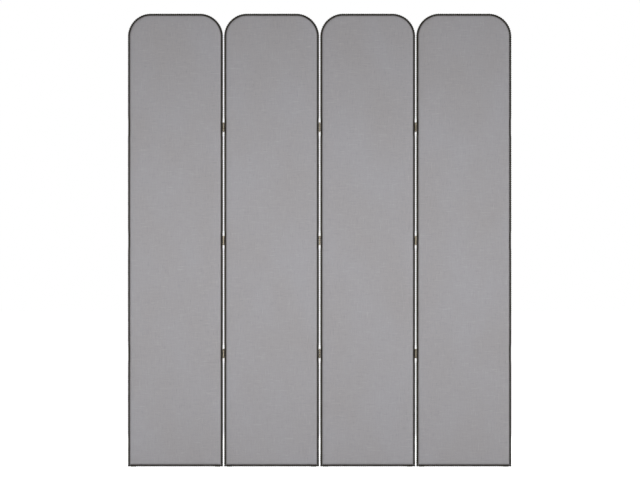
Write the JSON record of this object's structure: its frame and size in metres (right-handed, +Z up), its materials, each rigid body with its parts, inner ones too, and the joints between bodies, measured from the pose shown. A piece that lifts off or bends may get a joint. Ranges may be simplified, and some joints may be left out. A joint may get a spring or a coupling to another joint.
{
  "type": "upholstered folding screen",
  "caption": "Folding upholstered screen: flat linen-covered panels with rounded top corners, nail-head trim round every face, and double-action hinges that fold either way.",
  "frame": {"origin": "on the floor under the middle of the screen, half-way through its thickness", "axes": "+X along the width to the viewer's right, +Y from the front face to the back, +Z up"},
  "size_m": [1.718, 0.0404, 2.032],
  "materials": {
    "linen": "matte",
    "nail_metal": "satin",
    "hinge_metal": "satin",
    "frame_wood": "matte",
    "hardboard": "matte",
    "wadding": "matte",
    "glide_plastic": "satin"
  },
  "bodies": {
    "link_2": {"hinge_links_2": "hinge_metal", "hinge_pins_2": "hinge_metal"},
    "panel_2": {"stiles_2": "frame_wood", "top_rail_2": "frame_wood", "rails_2": "frame_wood", "boards_2": "hardboard", "padding_front_2": "wadding", "padding_back_2": "wadding", "cover_front_2": "linen", "cover_back_2": "linen", "nail_strip_front_2": "nail_metal", "nail_strip_back_2": "nail_metal", "glides_2": "glide_plastic", "hinge_screws_2": "hinge_metal", "hinge_leaves_right_1": "hinge_metal", "hinge_leaves_left_2": "hinge_metal"},
    "panel_3": {"stiles_3": "frame_wood", "top_rail_3": "frame_wood", "rails_3": "frame_wood", "boards_3": "hardboard", "padding_front_3": "wadding", "padding_back_3": "wadding", "cover_front_3": "linen", "cover_back_3": "linen", "nail_strip_front_3": "nail_metal", "nail_strip_back_3": "nail_metal", "glides_3": "glide_plastic", "hinge_screws_3": "hinge_metal", "hinge_leaves_right_2": "hinge_metal", "hinge_leaves_left_3": "hinge_metal"},
    "link_1": {"hinge_links_1": "hinge_metal", "hinge_pins_1": "hinge_metal"},
    "link_3": {"hinge_links_3": "hinge_metal", "hinge_pins_3": "hinge_metal"},
    "panel_1": {"stiles_1": "frame_wood", "top_rail_1": "frame_wood", "rails_1": "frame_wood", "boards_1": "hardboard", "padding_front_1": "wadding", "padding_back_1": "wadding", "cover_front_1": "linen", "cover_back_1": "linen", "nail_strip_front_1": "nail_metal", "nail_strip_back_1": "nail_metal", "glides_1": "glide_plastic", "hinge_screws_1": "hinge_metal", "hinge_leaves_left_1": "hinge_metal"},
    "panel_4": {"stiles_4": "frame_wood", "top_rail_4": "frame_wood", "rails_4": "frame_wood", "boards_4": "hardboard", "padding_front_4": "wadding", "padding_back_4": "wadding", "cover_front_4": "linen", "cover_back_4": "linen", "nail_strip_front_4": "nail_metal", "nail_strip_back_4": "nail_metal", "glides_4": "glide_plastic", "hinge_screws_4": "hinge_metal", "hinge_leaves_right_3": "hinge_metal"}
  },
  "joints": [
    {"name": "fold_back_1", "type": "hinge", "parent": "panel_2", "child": "link_1", "pos_m": [-0.43125, 0.017, 1.016], "axis": [0, 0, 1], "range_deg": [-178, 0]},
    {"name": "fold_front_1", "type": "hinge", "parent": "link_1", "child": "panel_1", "pos_m": [-0.43125, -0.017, 1.016], "axis": [0, 0, 1], "range_deg": [0, 178]},
    {"name": "fold_front_2", "type": "hinge", "parent": "link_2", "child": "panel_2", "pos_m": [0, -0.017, 1.016], "axis": [0, 0, -1], "range_deg": [-178, 0]},
    {"name": "fold_back_2", "type": "hinge", "parent": "link_2", "child": "panel_3", "pos_m": [0, 0.017, 1.016], "axis": [0, 0, 1], "range_deg": [0, 178]},
    {"name": "fold_front_3", "type": "hinge", "parent": "panel_3", "child": "link_3", "pos_m": [0.43125, -0.017, 1.016], "axis": [0, 0, -1], "range_deg": [0, 178]},
    {"name": "fold_back_3", "type": "hinge", "parent": "link_3", "child": "panel_4", "pos_m": [0.43125, 0.017, 1.016], "axis": [0, 0, -1], "range_deg": [-178, 0]}
  ]
}
